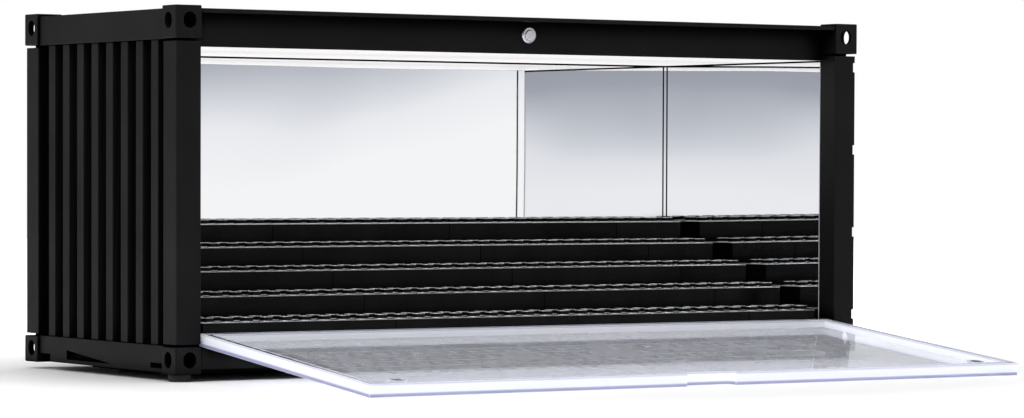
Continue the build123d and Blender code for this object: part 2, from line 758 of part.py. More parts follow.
# Opened door. On its own plane Y runs back from the free edge to the hinge axis at 0,
# and Z is the side that faces inwards once the door is closed.
door_plane = Plane((0, hinge_y, hinge_z), x_dir=(1, 0, 0),
                   z_dir=(0, -sin(open_droop), cos(open_droop)))
outer_face = -barrel_radius
rim_top = outer_face + door_thickness
magnet_line = -door_reach + magnet_from_edge
door_middle = -door_reach / 2
with BuildPart() as door_panel:
    with BuildSketch(door_plane.offset(outer_face)):
        with Locations((0, door_middle)):
            Rectangle(door_width, door_reach)
    extrude(amount=panel_thickness)
    with BuildSketch(door_plane.offset(outer_face)):
        with Locations((0, door_middle)):
            Rectangle(door_width, door_reach)
        with Locations((0, door_middle)):
            Rectangle(door_width - 2 * rim_width, door_reach - 2 * rim_width, mode=Mode.SUBTRACT)
    extrude(amount=door_thickness)
    barrel_start = Plane((-door_width / 2, hinge_y, hinge_z), x_dir=(0, 1, 0), z_dir=(1, 0, 0))
    with BuildSketch(barrel_start):
        Circle(barrel_radius)
    extrude(amount=door_width)
    with BuildSketch(door_plane.offset(outer_face)):
        with Locations(*[(x, magnet_line) for x in magnet_spots]):
            Circle(magnet_boss_diameter / 2)
    extrude(amount=door_thickness)
    # Finger recess in the middle of the free edge
    with BuildSketch(door_plane.offset(outer_face)):
        with Locations((0, -door_reach)):
            SlotOverall(recess_width, 2 * recess_depth)
    extrude(amount=door_thickness, mode=Mode.SUBTRACT)
    with BuildSketch(door_plane.offset(rim_top)):
        with Locations(*[(x, magnet_line) for x in magnet_spots]):
            Circle(magnet_diameter / 2 + magnet_clearance)
    extrude(amount=-magnet_thickness, mode=Mode.SUBTRACT)
    for side_sign in SIDES.values():
        end_plane = Plane((side_sign * door_width / 2, hinge_y, hinge_z),
                          x_dir=(0, 1, 0), z_dir=(side_sign, 0, 0))
        with BuildSketch(end_plane):
            Circle(pin_diameter / 2 + pin_clearance)
        extrude(amount=-pin_in_door - seat_gap, mode=Mode.SUBTRACT)
save(door_panel, "door_panel")

with BuildPart() as door_magnets:
    with BuildSketch(door_plane.offset(rim_top)):
        with Locations(*[(x, magnet_line) for x in magnet_spots]):
            Circle(magnet_diameter / 2)
    extrude(amount=-magnet_thickness)
save(door_magnets, "door_magnets")

# Steel hinge pins, tight in the front posts and free to turn in the door
for side_name, side_sign in SIDES.items():
    pin_start = side_sign * (door_width / 2 - pin_in_door)
    pin_end = side_sign * (half_width - front_post_width + pin_in_post)
    with BuildPart() as hinge_pin:
        with BuildSketch(Plane((pin_start, hinge_y, hinge_z), x_dir=(0, 1, 0), z_dir=(side_sign, 0, 0))):
            Circle(pin_diameter / 2)
        extrude(amount=abs(pin_end - pin_start))
    save(hinge_pin, f"hinge_pin_{side_name}")

print("door swing from open to closed, degrees", round(swing, 3))
print("hinge axis Y and Z", round(hinge_y, 3), round(hinge_z, 3), "front plane Y", round(front_y, 3))
print("lead arc radii", lead_radii)
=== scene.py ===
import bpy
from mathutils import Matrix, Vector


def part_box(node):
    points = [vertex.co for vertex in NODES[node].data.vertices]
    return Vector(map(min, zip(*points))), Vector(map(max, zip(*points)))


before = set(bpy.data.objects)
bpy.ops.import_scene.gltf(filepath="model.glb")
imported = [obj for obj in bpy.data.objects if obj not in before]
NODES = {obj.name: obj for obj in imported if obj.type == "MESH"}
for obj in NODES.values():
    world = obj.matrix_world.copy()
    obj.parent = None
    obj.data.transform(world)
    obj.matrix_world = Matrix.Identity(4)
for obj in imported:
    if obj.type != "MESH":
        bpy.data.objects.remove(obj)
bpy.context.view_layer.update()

import math

import bpy
import numpy as np
from mathutils import Matrix, Vector

bl_info = {
    "name": "Container Display Case",
    "version": (1, 0, 0),
    "blender": (4, 5, 0),
    "location": "View3D > Sidebar > Display Case",
    "description": "Finishes and stage of a container-shaped display case with a drop-down clear door",
    "category": "Object",
}

# Upward direction of the opened door's panel, and how far along it its underside and top lie
DOOR_FACE = (0.0, -0.1066, 0.9943)
DOOR_UNDERSIDE = 0.01213
DOOR_TOP = 0.01673

# Distances from the door's middle between which its veil, with its painted light, fades, and the rounding of
# its edges
VEIL_FADE_FROM = 0.12
VEIL_FADE_TO = 0.134
DOOR_ROUND = 0.0002

# Dark lines along the mirrors' tops and beside the rear corners, and their light front edges
MIRROR_TOP_LINE = 0.0007
CORNER_LINE_INSET = 0.0013
CORNER_LINE_HALF = 0.0005
MIRROR_FRONT_EDGE = 0.0009

# Length from which a reflected ray misses the right front post, and the thin line that it still meets
JAMB_REACH = 0.118
JAMB_LINE_PLACE = 0.0022
JAMB_LINE_HALF = 0.0006

# Middle between the two rows of light, each row's distance from it, chip pitch and tracks to the metre
ROWS_MIDDLE = 0.0604
ROWS_OFFSET = 0.034
CHIP_PITCH = 0.013
TRACKS_PER_METRE = 400.0

# Angle from which an edge counts as sharp and is rounded
SHARP_ANGLE = math.radians(40.0)

# Distances from the middle of the stage where the floor starts to turn white and where it is white
FLOOR_GREY_REACH = 0.17
FLOOR_WHITE_REACH = 0.5

# Camera of the picture, in the part's own frame; angles in degrees, lens in millimetres
CAMERA_PLACE = (-0.79827, -1.19526, 0.07576)
CAMERA_YAW = 33.474
CAMERA_PITCH = 1.783
CAMERA_ROLL = 0.206
CAMERA_LENS = 136.69
CAMERA_SHIFT_Y = 0.0764

# Shades of the studio that mirrors and gloss show, from 2 degrees below the horizon to 8 above it
SKY_LOWEST = math.sin(math.radians(-2.0))
SKY_HIGHEST = math.sin(math.radians(8.0))
SKY_SHADES = [(0.0, (1, 1, 1)), (0.26, (1, 1, 1)), (0.33, (0.9, 0.91, 0.93)), (0.38, (0.68, 0.70, 0.74)),
              (0.44, (0.42, 0.44, 0.49)), (0.6, (0.28, 0.285, 0.31)), (1.0, (0.18, 0.18, 0.19))]

# How the shades drop towards the left: between two directions, and again left of straight ahead
SKY_TURN_FROM = 0.552
SKY_TURN_TO = 0.462
SKY_TURN_DROP = 0.02
SKY_LEFT_DROP = 0.0045
SKY_LEFT_STEEPER = 0.35

FRAME_NODES = [n for n in NODES if n.startswith(("casting_", "post_"))] + [
    "front_bottom_rail", "rear_bottom_rail", "left_bottom_rail", "right_bottom_rail",
    "left_top_rail", "right_top_rail", "rear_top_rail", "front_header", "roof_panel",
    "left_end_panel", "right_end_panel", "rear_panel"]
JAMB_NODES = [n for n in FRAME_NODES if n.endswith("front_right")]
STAND_NODES = [n for n in NODES if n.startswith("step_")]
BASE_NODES = ["base_floor", "base_pan"]
FOOT_NODES = [n for n in NODES if n.startswith("foot_")]
STEEL_NODES = ["base_screws", "hinge_pin_left", "hinge_pin_right"]
MAGNET_NODES = ["door_magnets", "header_magnets"]
BOARD_NODES = ["led_board_front", "led_board_rear", "board_link"]
LEAD_NODES = ["power_lead", "switch_lead"]


class NodeSet:
    """Shader nodes of a material or of the world, while they are put together."""

    def __init__(self, tree):
        self.tree = tree
        tree.nodes.clear()

    def add(self, kind, inputs=None, **settings):
        """A node of one kind, with numbers or sockets given for its inputs."""
        node = self.tree.nodes.new(kind)
        for key, value in settings.items():
            setattr(node, key, value)
        for key, value in (inputs or {}).items():
            if isinstance(value, bpy.types.NodeSocket):
                self.tree.links.new(value, node.inputs[key])
            else:
                node.inputs[key].default_value = value
        return node

    def math(self, operation, *values):
        return self.add("ShaderNodeMath", dict(enumerate(values)), operation=operation).outputs[0]

    def vector_number(self, operation, *vectors):
        """The number that a vector operation gives, such as a dot product or a length."""
        node = self.add("ShaderNodeVectorMath", dict(enumerate(vectors)), operation=operation)
        return node.outputs["Value"]

    def near(self, value, place, half):
        """1 where a value lies within a half width of a place, else 0."""
        off = self.math("ABSOLUTE", self.math("SUBTRACT", value, place))
        return self.math("LESS_THAN", off, half)

    def split(self, vector):
        """The three numbers of a vector."""
        return self.add("ShaderNodeSeparateXYZ", {"Vector": vector}).outputs

    def span(self, value, low, high, out_low=0.0, out_high=1.0):
        """The value from low to high as a number from out_low to out_high."""
        node = self.add("ShaderNodeMapRange", {"Value": value, "From Min": low, "From Max": high,
                                               "To Min": out_low, "To Max": out_high})
        return node.outputs[0]

    def ramp(self, value, stops):
        """Colours at places from 0 to 1, blended between them."""
        node = self.add("ShaderNodeValToRGB", {"Fac": value})
        ramp = node.color_ramp
        for element, (place, colour) in zip(ramp.elements, (stops[0], stops[-1])):
            element.position = place
            element.color = (*colour, 1)
        for place, colour in stops[1:-1]:
            ramp.elements.new(place).color = (*colour, 1)
        return node.outputs["Color"]

    def blend(self, share, first, second):
        """Two colours mixed by a share from 0 to 1."""
        first, second = (c if isinstance(c, bpy.types.NodeSocket) else (*c, 1) for c in (first, second))
        return self.add("ShaderNodeMix", {0: share, 6: first, 7: second}, data_type="RGBA").outputs[2]

    def mix(self, share, first, second):
        """Two shaders mixed by a share from 0 to 1."""
        return self.add("ShaderNodeMixShader", {0: share, 1: first, 2: second}).outputs[0]

    def shader(self, kind, colour, **inputs):
        """A simple shader, such as Diffuse or Transparent, of one colour."""
        colour = colour if isinstance(colour, bpy.types.NodeSocket) else (*colour, 1)
        return self.add(kind, {"Color": colour, **inputs}).outputs[0]


class Finish(NodeSet):
    """One procedural material while its nodes are put together."""

    def __init__(self, name):
        self.material = bpy.data.materials.new(name)
        self.material.use_nodes = True
        super().__init__(self.material.node_tree)
        self.output = self.add("ShaderNodeOutputMaterial")
        self.coordinates = self.add("ShaderNodeTexCoord").outputs["Object"]

    def surface(self, shader):
        """The shader that the material ends in."""
        self.face = shader
        self.tree.links.new(shader, self.output.inputs["Surface"])

    def plastic(self, **inputs):
        """The Principled shader, as the material's end until another takes its place."""
        named = {key.replace("_", " "): value for key, value in inputs.items()}
        self.surface(self.add("ShaderNodeBsdfPrincipled", named).outputs[0])

    def stretched(self, scale):
        """Object coordinates, scaled by three factors."""
        return self.add("ShaderNodeMapping", {"Vector": self.coordinates, "Scale": scale}).outputs[0]

    def noise(self, scale, detail=2.0, roughness=0.5, vector=None):
        node = self.add("ShaderNodeTexNoise", {"Vector": vector or self.coordinates, "Scale": scale,
                                               "Detail": detail, "Roughness": roughness})
        return node.outputs["Fac"]

    def tones(self, value, low, dark, high, light):
        """A blend from a dark to a light colour as a value goes from low to high."""
        return self.ramp(value, [(low, dark), (high, light)])

    def flat_normal(self):
        """The normal of the triangles themselves, without smoothing."""
        return self.add("ShaderNodeNewGeometry").outputs["True Normal"]

    def rounded_normal(self, radius, samples):
        return self.add("ShaderNodeBevel", {"Radius": radius}, samples=samples).outputs[0]

    def edge_share(self, rounded):
        """Near 0 on flat faces and up to 1 on sharp edges, from a rounded normal."""
        plain = self.add("ShaderNodeNewGeometry").outputs["Normal"]
        return self.span(self.vector_number("DOT_PRODUCT", rounded, plain), 1.0, 0.75)

    def bump(self, height, distance, strength=1.0, normal=None):
        inputs = {"Height": height, "Distance": distance, "Strength": strength}
        if normal is not None:
            inputs["Normal"] = normal
        return self.add("ShaderNodeBump", inputs).outputs[0]

    def shaded_hollows(self, distance, low, high):
        """Painted shade: turn the shader dark in grooves, mixing in a near-black diffuse where ambient
        occlusion finds them closed in.
        """
        open_share = self.add("ShaderNodeAmbientOcclusion", {"Distance": distance}, samples=8).outputs["AO"]
        dark = self.shader("ShaderNodeBsdfDiffuse", (0.0015, 0.0015, 0.0015))
        self.surface(self.mix(self.span(open_share, low, high), dark, self.face))

    def clear_in_mirror(self, reach, line, half):
        """Leave the piece out of reflections that start beyond a reach, but for a thin upright line."""
        path = self.add("ShaderNodeLightPath").outputs
        long_ray = self.math("GREATER_THAN", path["Ray Length"], reach)
        far = self.math("MULTIPLY", path["Is Glossy Ray"], long_ray)
        off_line = self.math("ABSOLUTE", self.math("SUBTRACT", self.split(self.coordinates)[1], line))
        beside = self.math("GREATER_THAN", off_line, half)
        clear = self.shader("ShaderNodeBsdfTransparent", (1, 1, 1))
        self.surface(self.mix(self.math("MULTIPLY", far, beside), self.face, clear))


def shade(node_names, finish):
    """Give one finish to CAD nodes."""
    for name in node_names:
        materials = NODES[name].data.materials
        materials.clear()
        materials.append(finish.material)


def round_edges(node_names, width):
    """Join a CAD node's loose triangles and round its sharp edges with modifiers."""
    for name in node_names:
        piece = NODES[name]
        weld = piece.modifiers.new("Join", "WELD")
        weld.merge_threshold = 0.000005
        bevel = piece.modifiers.new("Round", "BEVEL")
        bevel.width = width
        bevel.segments = 2
        bevel.limit_method = "ANGLE"
        bevel.angle_limit = SHARP_ANGLE
        bevel.use_clamp_overlap = True
        bevel.harden_normals = True


def moulded_black(name, tint, gloss, grain_depth, grain_scale):
    """Black moulded plastic: fine spark-eroded grain, faint mottling, a painted highlight along the rounded
    edges and painted shade in the grooves.
    """
    finish = Finish(name)
    rounded = finish.rounded_normal(0.00035, 6)
    mottle = finish.noise(38.0, 4.0, 0.6)
    grain = finish.noise(grain_scale, 3.0, 0.65)
    dark = tuple(0.78 * c for c in tint)
    light = tuple(1.25 * c for c in tint)
    # Painted highlight: a lighter colour along the rounded edges
    painted_edge_highlight = tuple(min(1.0, 2.6 * c + 0.012) for c in tint)
    body = finish.blend(finish.span(mottle, 0.3, 0.7), dark, light)
    finish.plastic(
        Base_Color=finish.blend(finish.math("MULTIPLY", finish.edge_share(rounded), 0.55), body, painted_edge_highlight),
        Roughness=finish.span(mottle, 0.25, 0.75, gloss + 0.05, gloss - 0.04),
        IOR=1.48, Specular_IOR_Level=0.15, Normal=finish.bump(grain, grain_depth, 0.4, rounded))
    # Painted shade: the grooves turn dark by ambient occlusion
    finish.shaded_hollows(0.008, 0.55, 0.95)
    return finish


def brick_plastic(tint):
    """Black brick plastic with a painted highlight on its top edges and stud rims, where the ceiling light
    would catch them, and dark in the seams.
    """
    finish = Finish("stand_plastic")
    rounded = finish.rounded_normal(0.0004, 8)
    round_x, _, round_z = finish.split(rounded)
    flat_x = finish.split(finish.flat_normal())[0]
    # Painted highlight: a light, partly metallic colour on the rounded top edges
    painted_highlight = finish.span(finish.math("MULTIPLY", round_z, finish.math("SUBTRACT", 1.0, round_z)), 0.03, 0.2)
    turned = finish.math("ABSOLUTE", finish.math("SUBTRACT", round_x, flat_x))
    seam = finish.math("MULTIPLY", finish.span(turned, 0.1, 0.35), finish.math("SUBTRACT", 1.0, painted_highlight))
    smear = finish.noise(60.0, 3.0, 0.55)
    dark = tuple(0.7 * c for c in tint)
    light = tuple(1.3 * c for c in tint)
    body = finish.blend(finish.span(smear, 0.3, 0.7), dark, light)
    painted_highlight_colour = finish.tones(smear, 0.3, (0.8, 0.81, 0.83), 0.7, (0.95, 0.96, 0.98))
    finish.plastic(
        Base_Color=finish.blend(painted_highlight, body, painted_highlight_colour), Metallic=finish.math("MULTIPLY", painted_highlight, 0.75),
        Roughness=finish.span(smear, 0.25, 0.75, 0.30, 0.2), IOR=1.53, Specular_IOR_Level=0.08,
        Normal=rounded)
    black = finish.shader("ShaderNodeBsdfDiffuse", (0.0005, 0.0005, 0.0005))
    finish.surface(finish.mix(seam, finish.face, black))
    return finish


def mirror_silver(name, facing, lean, silvering):
    """Silvered acrylic that faces along an axis: faint waves, wiped marks, polished edges, dark joints."""
    finish = Finish(name + "_silver")
    _, y, z = finish.split(finish.coordinates)
    height = finish.math("MULTIPLY", finish.noise(9.0, 1.0, 0.4), 0.0004)
    if lean:
        height = finish.math("ADD", height, finish.math("MULTIPLY", z, math.tan(lean)))
    wiped = finish.noise(25.0, 4.0, 0.6, finish.stretched((1, 1, 3)))
    finish.plastic(Base_Color=(*silvering, 1), Metallic=1.0,
                   Roughness=finish.span(wiped, 0.4, 0.75, 0.008, 0.03), Normal=finish.bump(height, 1.0))
    silver = finish.face
    finish.plastic(Base_Color=finish.tones(wiped, 0.2, (0.55, 0.58, 0.64), 0.8, (0.78, 0.8, 0.85)),
                   Roughness=0.22, IOR=1.49)
    edge = finish.face
    across = finish.math("ABSOLUTE", finish.split(finish.flat_normal())[facing])
    shown = finish.mix(finish.math("GREATER_THAN", across, 0.5), edge, silver)
    low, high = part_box(name)
    lines = finish.math("GREATER_THAN", z, high.z - MIRROR_TOP_LINE)
    if facing == 0:
        corner = finish.near(y, high.y - CORNER_LINE_INSET, CORNER_LINE_HALF)
        lines = finish.math("MAXIMUM", lines, corner)
        shown = finish.mix(finish.math("LESS_THAN", y, low.y + MIRROR_FRONT_EDGE), shown, edge)
    finish.surface(finish.mix(lines, shown, finish.shader("ShaderNodeBsdfDiffuse", (0.004, 0.004, 0.004))))
    return finish


def opal_ceiling(light, strength):
    """Opal sheet, brighter under the two light strips and faintly cloudy."""
    finish = Finish("opal_ceiling")
    y = finish.split(finish.coordinates)[1]
    from_middle = finish.math("ABSOLUTE", finish.math("SUBTRACT", y, ROWS_MIDDLE))
    from_row = finish.math("ABSOLUTE", finish.math("SUBTRACT", from_middle, ROWS_OFFSET))
    glow = finish.span(from_row, 0.0, 0.03, 1.0, 0.82)
    cloud = finish.span(finish.noise(14.0, 3.0, 0.5), 0.3, 0.7, 0.97, 1.03)
    level = finish.math("MULTIPLY", finish.math("MULTIPLY", glow, cloud), strength)
    finish.plastic(Base_Color=(0.3, 0.3, 0.3, 1), Roughness=0.5, Emission_Color=(*light, 1),
                   Emission_Strength=level)
    return finish


def white_board():
    """White circuit board with thin tracks that run along it."""
    finish = Finish("white_board")
    y = finish.split(finish.coordinates)[1]
    track = finish.near(finish.math("FRACT", finish.math("MULTIPLY", y, TRACKS_PER_METRE)), 0.5, 0.12)
    mask = finish.tones(finish.noise(260.0, 2.0, 0.5), 0.3, (0.80, 0.80, 0.78), 0.7, (0.88, 0.88, 0.86))
    finish.plastic(Base_Color=finish.blend(track, mask, (0.62, 0.66, 0.6)), Roughness=0.3,
                   Normal=finish.bump(track, 0.00003))
    return finish


def light_chips():
    """White chips with a glowing yellow middle."""
    finish = Finish("light_chips")
    x = finish.split(finish.coordinates)[0]
    middle = finish.near(finish.math("FRACT", finish.math("DIVIDE", x, CHIP_PITCH)), 0.5, 0.085)
    phosphor = finish.tones(finish.noise(2400.0, 2.0, 0.5), 0.3, (0.95, 0.72, 0.2), 0.7, (1.0, 0.85, 0.35))
    finish.plastic(Base_Color=finish.blend(middle, (0.92, 0.92, 0.9), phosphor), Roughness=0.4,
                   Emission_Color=(1.0, 0.95, 0.85, 1),
                   Emission_Strength=finish.math("MULTIPLY", middle, 3.0))
    return finish


def clear_acrylic(tint):
    """Clear acrylic: edge faces with painted light, pale with a lavender foot; painted highlights on sharp
    edges; a dust veil where it is seen at a raking angle, lifted by a painted glow that fades from the
    middle.
    """
    finish = Finish("clear_acrylic")
    handled = finish.noise(70.0, 4.0, 0.6)
    finish.plastic(Base_Color=(0.87, 0.875, 0.91, 1), Transmission_Weight=1.0, IOR=1.49,
                   Roughness=finish.span(handled, 0.45, 0.8, 0.0, 0.01),
                   Normal=finish.bump(finish.noise(22.0, 2.0, 0.5), 0.000008))
    clear = finish.face
    own_normal = finish.add("ShaderNodeTexCoord").outputs["Normal"]
    across = finish.math("ABSOLUTE", finish.vector_number("DOT_PRODUCT", own_normal, DOOR_FACE))
    on_edge = finish.math("LESS_THAN", across, 0.6)
    height = finish.vector_number("DOT_PRODUCT", finish.coordinates, DOOR_FACE)
    # Painted light on the edge faces: a lavender foot, a white band and a darker band near the top
    bands = finish.ramp(finish.span(height, DOOR_UNDERSIDE, DOOR_TOP), [
        (0.0, (0.22, 0.23, 0.40)), (0.2, (0.38, 0.39, 0.58)), (0.3, (0.93, 0.94, 1.0)),
        (0.82, (0.97, 0.98, 1.0)), (0.92, (0.62, 0.64, 0.76)), (1.0, (0.8, 0.82, 0.9))])
    # Painted highlight: near-white lines along the sharp edges
    corner = finish.edge_share(finish.rounded_normal(0.0005, 6))
    colour = finish.blend(corner, finish.blend(on_edge, (0.84, 0.86, 0.92), bands), (0.90, 0.91, 0.97))

    # Dust veil seen at a raking angle, with painted light that fades away from the door's middle
    facing = finish.add("ShaderNodeLayerWeight", {"Blend": 0.5}).outputs["Facing"]
    raking = finish.span(facing, 0.5, 0.85, 0.06, 1.0)
    dust = finish.math("MULTIPLY", finish.span(handled, 0.3, 0.7, 0.9, 1.1), raking)
    from_middle = finish.math("ABSOLUTE", finish.split(finish.coordinates)[0])
    painted_falloff = finish.span(from_middle, VEIL_FADE_FROM, VEIL_FADE_TO, 0.27, 0.03)
    veil = finish.math("MULTIPLY", dust, painted_falloff)
    share = finish.math("MAXIMUM", finish.math("MAXIMUM", veil, finish.math("MULTIPLY", corner, 0.7)),
                        finish.math("MULTIPLY", on_edge, 0.85))

    through = finish.shader("ShaderNodeBsdfTranslucent", colour)
    back = finish.shader("ShaderNodeBsdfDiffuse", colour)
    # Painted glow: the pale part gives off light though the door is no lamp
    painted_glow = finish.shader("ShaderNodeEmission", colour, Strength=0.14)
    pale = finish.add("ShaderNodeAddShader", {0: finish.mix(0.5, through, back), 1: painted_glow}).outputs[0]
    shadow = finish.add("ShaderNodeLightPath").outputs["Is Shadow Ray"]
    lit = finish.shader("ShaderNodeBsdfTransparent", (0.93, 0.94, 0.98))
    finish.surface(finish.mix(shadow, finish.mix(share, clear, pale), lit))
    depth = finish.shader("ShaderNodeVolumeAbsorption", tint, Density=14.0)
    finish.tree.links.new(depth, finish.output.inputs["Volume"])
    return finish


def brushed_metal(name, grain, stretch, dark, light, smooth, rough, dark_until=0.3):
    """Metal with fine marks, finer along the axes that have the larger factors."""
    finish = Finish(name)
    marks = finish.noise(grain, 3.0, 0.6, finish.stretched(stretch))
    finish.plastic(Base_Color=finish.tones(marks, dark_until, dark, 0.7, light), Metallic=1.0,
                   Roughness=finish.span(marks, 0.3, 0.7, smooth, rough), Normal=finish.bump(marks, 0.00001))
    return finish


def dark_rubber(name, grain, tones, smooth, rough, depth):
    """Dark rubber or vinyl with a crumbly grain, given as a noise's three numbers."""
    finish = Finish(name)
    crumb = finish.noise(*grain)
    finish.plastic(Base_Color=finish.tones(crumb, *tones), IOR=1.5,
                   Roughness=finish.span(crumb, 0.3, 0.7, smooth, rough), Normal=finish.bump(crumb, depth))
    return finish


def pale_floor():
    """Paper floor that the camera sees turn to white away from the case, and grey in the case's shadow."""
    finish = Finish("pale_floor")
    paper = finish.noise(30.0, 3.0, 0.5)
    finish.plastic(Base_Color=finish.tones(paper, 0.3, (0.86, 0.86, 0.86), 0.7, (0.88, 0.88, 0.88)),
                   Roughness=0.6, IOR=1.3)
    path = finish.add("ShaderNodeLightPath").outputs
    seen = finish.math("MAXIMUM", path["Is Camera Ray"], path["Is Transmission Ray"])
    from_middle = finish.vector_number("LENGTH", finish.coordinates)
    away = finish.span(from_middle, FLOOR_GREY_REACH, FLOOR_WHITE_REACH)
    lift = finish.shader("ShaderNodeEmission", (1, 1, 1), Strength=finish.math("MULTIPLY", seen, away))
    finish.surface(finish.add("ShaderNodeAddShader", {0: finish.face, 1: lift}).outputs[0])
    return finish


def studio_world():
    """White studio; mirrors and gloss show it darker above the horizon, and more so towards the left."""
    world = bpy.data.worlds.new("studio")
    world.use_nodes = True
    nodes = NodeSet(world.node_tree)
    output = nodes.add("ShaderNodeOutputWorld")
    x, _, z = nodes.split(nodes.add("ShaderNodeTexCoord").outputs["Generated"])
    leftward = nodes.math("LESS_THAN", x, 0.0)
    steepness = nodes.math("MULTIPLY_ADD", leftward, SKY_LEFT_STEEPER, 1.0)
    turned = nodes.span(x, SKY_TURN_FROM, SKY_TURN_TO, 0.0, SKY_TURN_DROP)
    dropped = nodes.math("MULTIPLY_ADD", leftward, SKY_LEFT_DROP, turned)
    height = nodes.math("MULTIPLY_ADD", z, steepness, dropped)
    shade_of_sky = nodes.ramp(nodes.span(height, SKY_LOWEST, SKY_HIGHEST), SKY_SHADES)
    reflected = nodes.shader("ShaderNodeBackground", shade_of_sky)
    white = nodes.shader("ShaderNodeBackground", (1, 1, 1))
    soft = nodes.shader("ShaderNodeBackground", (1, 1, 1), Strength=0.55)
    path = nodes.add("ShaderNodeLightPath").outputs
    seen = nodes.math("MAXIMUM", path["Is Camera Ray"], path["Is Transmission Ray"])
    lit = nodes.mix(seen, nodes.mix(path["Is Glossy Ray"], soft, reflected), white)
    nodes.tree.links.new(lit, output.inputs["Surface"])
    return world


class CaseColours(bpy.types.PropertyGroup):
    """Colours of the case that a user may change."""

    frame_black: bpy.props.FloatVectorProperty(
        name="Frame", description="Moulded plastic of the container frame", subtype="COLOR",
        default=(0.0055, 0.0055, 0.006), min=0, max=1)
    stand_black: bpy.props.FloatVectorProperty(
        name="Stand", description="Semi-gloss plastic of the stepped stand", subtype="COLOR",
        default=(0.004, 0.004, 0.0045), min=0, max=1)
    mirror_silver: bpy.props.FloatVectorProperty(
        name="Mirror", description="Silvering behind the acrylic mirrors", subtype="COLOR",
        default=(0.90, 0.905, 0.92), min=0, max=1)
    light_white: bpy.props.FloatVectorProperty(
        name="Light", description="Light of the ceiling", subtype="COLOR",
        default=(1.0, 0.985, 0.97), min=0, max=1)
    door_tint: bpy.props.FloatVectorProperty(
        name="Door", description="Tint of the clear door seen through its depth", subtype="COLOR",
        default=(0.80, 0.82, 0.98), min=0, max=1)


class CaseSizes(bpy.types.PropertyGroup):
    """Sizes of the finish that a user may change."""

    edge_round: bpy.props.FloatProperty(
        name="Edge round", description="Rounding of the frame's sharp edges", subtype="DISTANCE",
        unit="LENGTH", default=0.00022, min=0.00002, max=0.001, precision=5)
    grain_depth: bpy.props.FloatProperty(
        name="Grain depth", description="Depth of the plastic's moulded grain", subtype="DISTANCE",
        unit="LENGTH", default=0.00003, min=0.0, max=0.001, precision=6)
    mirror_lean: bpy.props.FloatProperty(
        name="Mirror lean", description="Lean of the right mirror's reflection", subtype="ANGLE",
        unit="ROTATION", default=math.radians(0.36), min=0.0, max=0.1)
    light_strength: bpy.props.FloatProperty(
        name="Light strength", description="Brightness of the ceiling", default=0.85, min=0.0, max=20.0)
    floor_radius: bpy.props.FloatProperty(
        name="Floor radius", description="Radius of the stage floor", subtype="DISTANCE",
        unit="LENGTH", default=2.6, min=0.5, max=10.0)


class CASE_OT_frame(bpy.types.Operator):
    """Black moulded plastic on the castings, posts, rails, header, roof and end walls"""

    bl_idname = "display_case.frame"
    bl_label = "Container frame"

    def execute(self, context):
        tint, sizes = tuple(context.scene.case_colours.frame_black), context.scene.case_sizes
        shade(FRAME_NODES, moulded_black("moulded_black", tint, 0.46, sizes.grain_depth, 2600.0))
        jamb = moulded_black("moulded_black_jamb", tint, 0.46, sizes.grain_depth, 2600.0)
        jamb.clear_in_mirror(JAMB_REACH, JAMB_LINE_PLACE, JAMB_LINE_HALF)
        shade(JAMB_NODES, jamb)
        round_edges([n for n in FRAME_NODES if not n.startswith("casting_")], sizes.edge_round)
        return {"FINISHED"}


class CASE_OT_stand(bpy.types.Operator):
    """Semi-gloss plastic on the stepped stand"""

    bl_idname = "display_case.stand"
    bl_label = "Stepped stand"

    def execute(self, context):
        shade(STAND_NODES, brick_plastic(tuple(context.scene.case_colours.stand_black)))
        return {"FINISHED"}


class CASE_OT_mirrors(bpy.types.Operator):
    """Silvered acrylic on the three inner walls, with polished edges"""

    bl_idname = "display_case.mirrors"
    bl_label = "Mirrors"

    def execute(self, context):
        silvering = tuple(context.scene.case_colours.mirror_silver)
        lean = context.scene.case_sizes.mirror_lean
        shade(["back_mirror"], mirror_silver("back_mirror", 1, 0.0, silvering))
        shade(["left_mirror"], mirror_silver("left_mirror", 0, 0.0, silvering))
        shade(["right_mirror"], mirror_silver("right_mirror", 0, lean, silvering))
        return {"FINISHED"}


class CASE_OT_light(bpy.types.Operator):
    """Luminous ceiling, light strips and their chips"""

    bl_idname = "display_case.light"
    bl_label = "Ceiling light"

    def execute(self, context):
        light = tuple(context.scene.case_colours.light_white)
        strength = context.scene.case_sizes.light_strength
        shade(["light_diffuser"], opal_ceiling(light, strength))
        shade(BOARD_NODES, white_board())
        shade(["led_chips"], light_chips())
        return {"FINISHED"}


class CASE_OT_door(bpy.types.Operator):
    """Clear acrylic of the drop-down door"""

    bl_idname = "display_case.door"
    bl_label = "Clear door"

    def execute(self, context):
        shade(["door_panel"], clear_acrylic(tuple(context.scene.case_colours.door_tint)))
        round_edges(["door_panel"], DOOR_ROUND)
        return {"FINISHED"}


class CASE_OT_hardware(bpy.types.Operator):
    """Button, magnets, pins, screws and power socket"""

    bl_idname = "display_case.hardware"
    bl_label = "Button and metal parts"

    def execute(self, context):
        shade(STEEL_NODES, brushed_metal("turned_steel", 900.0, (1, 12, 12),
                                         (0.45, 0.45, 0.47), (0.62, 0.62, 0.64), 0.22, 0.38))
        shade(MAGNET_NODES, brushed_metal("plated_magnet", 1500.0, (1, 1, 1),
                                          (0.09, 0.09, 0.1), (0.2, 0.2, 0.22), 0.2, 0.35, dark_until=0.35))
        shade(["button_bezel", "button_cap"], brushed_metal("satin_plating", 1400.0, (1, 1, 20),
                                                            (0.78, 0.78, 0.8), (0.92, 0.92, 0.94), 0.3, 0.42))
        shade(["power_socket"], brushed_metal("socket_shell", 1100.0, (1, 10, 1),
                                              (0.42, 0.42, 0.43), (0.6, 0.6, 0.61), 0.25, 0.4))
        return {"FINISHED"}


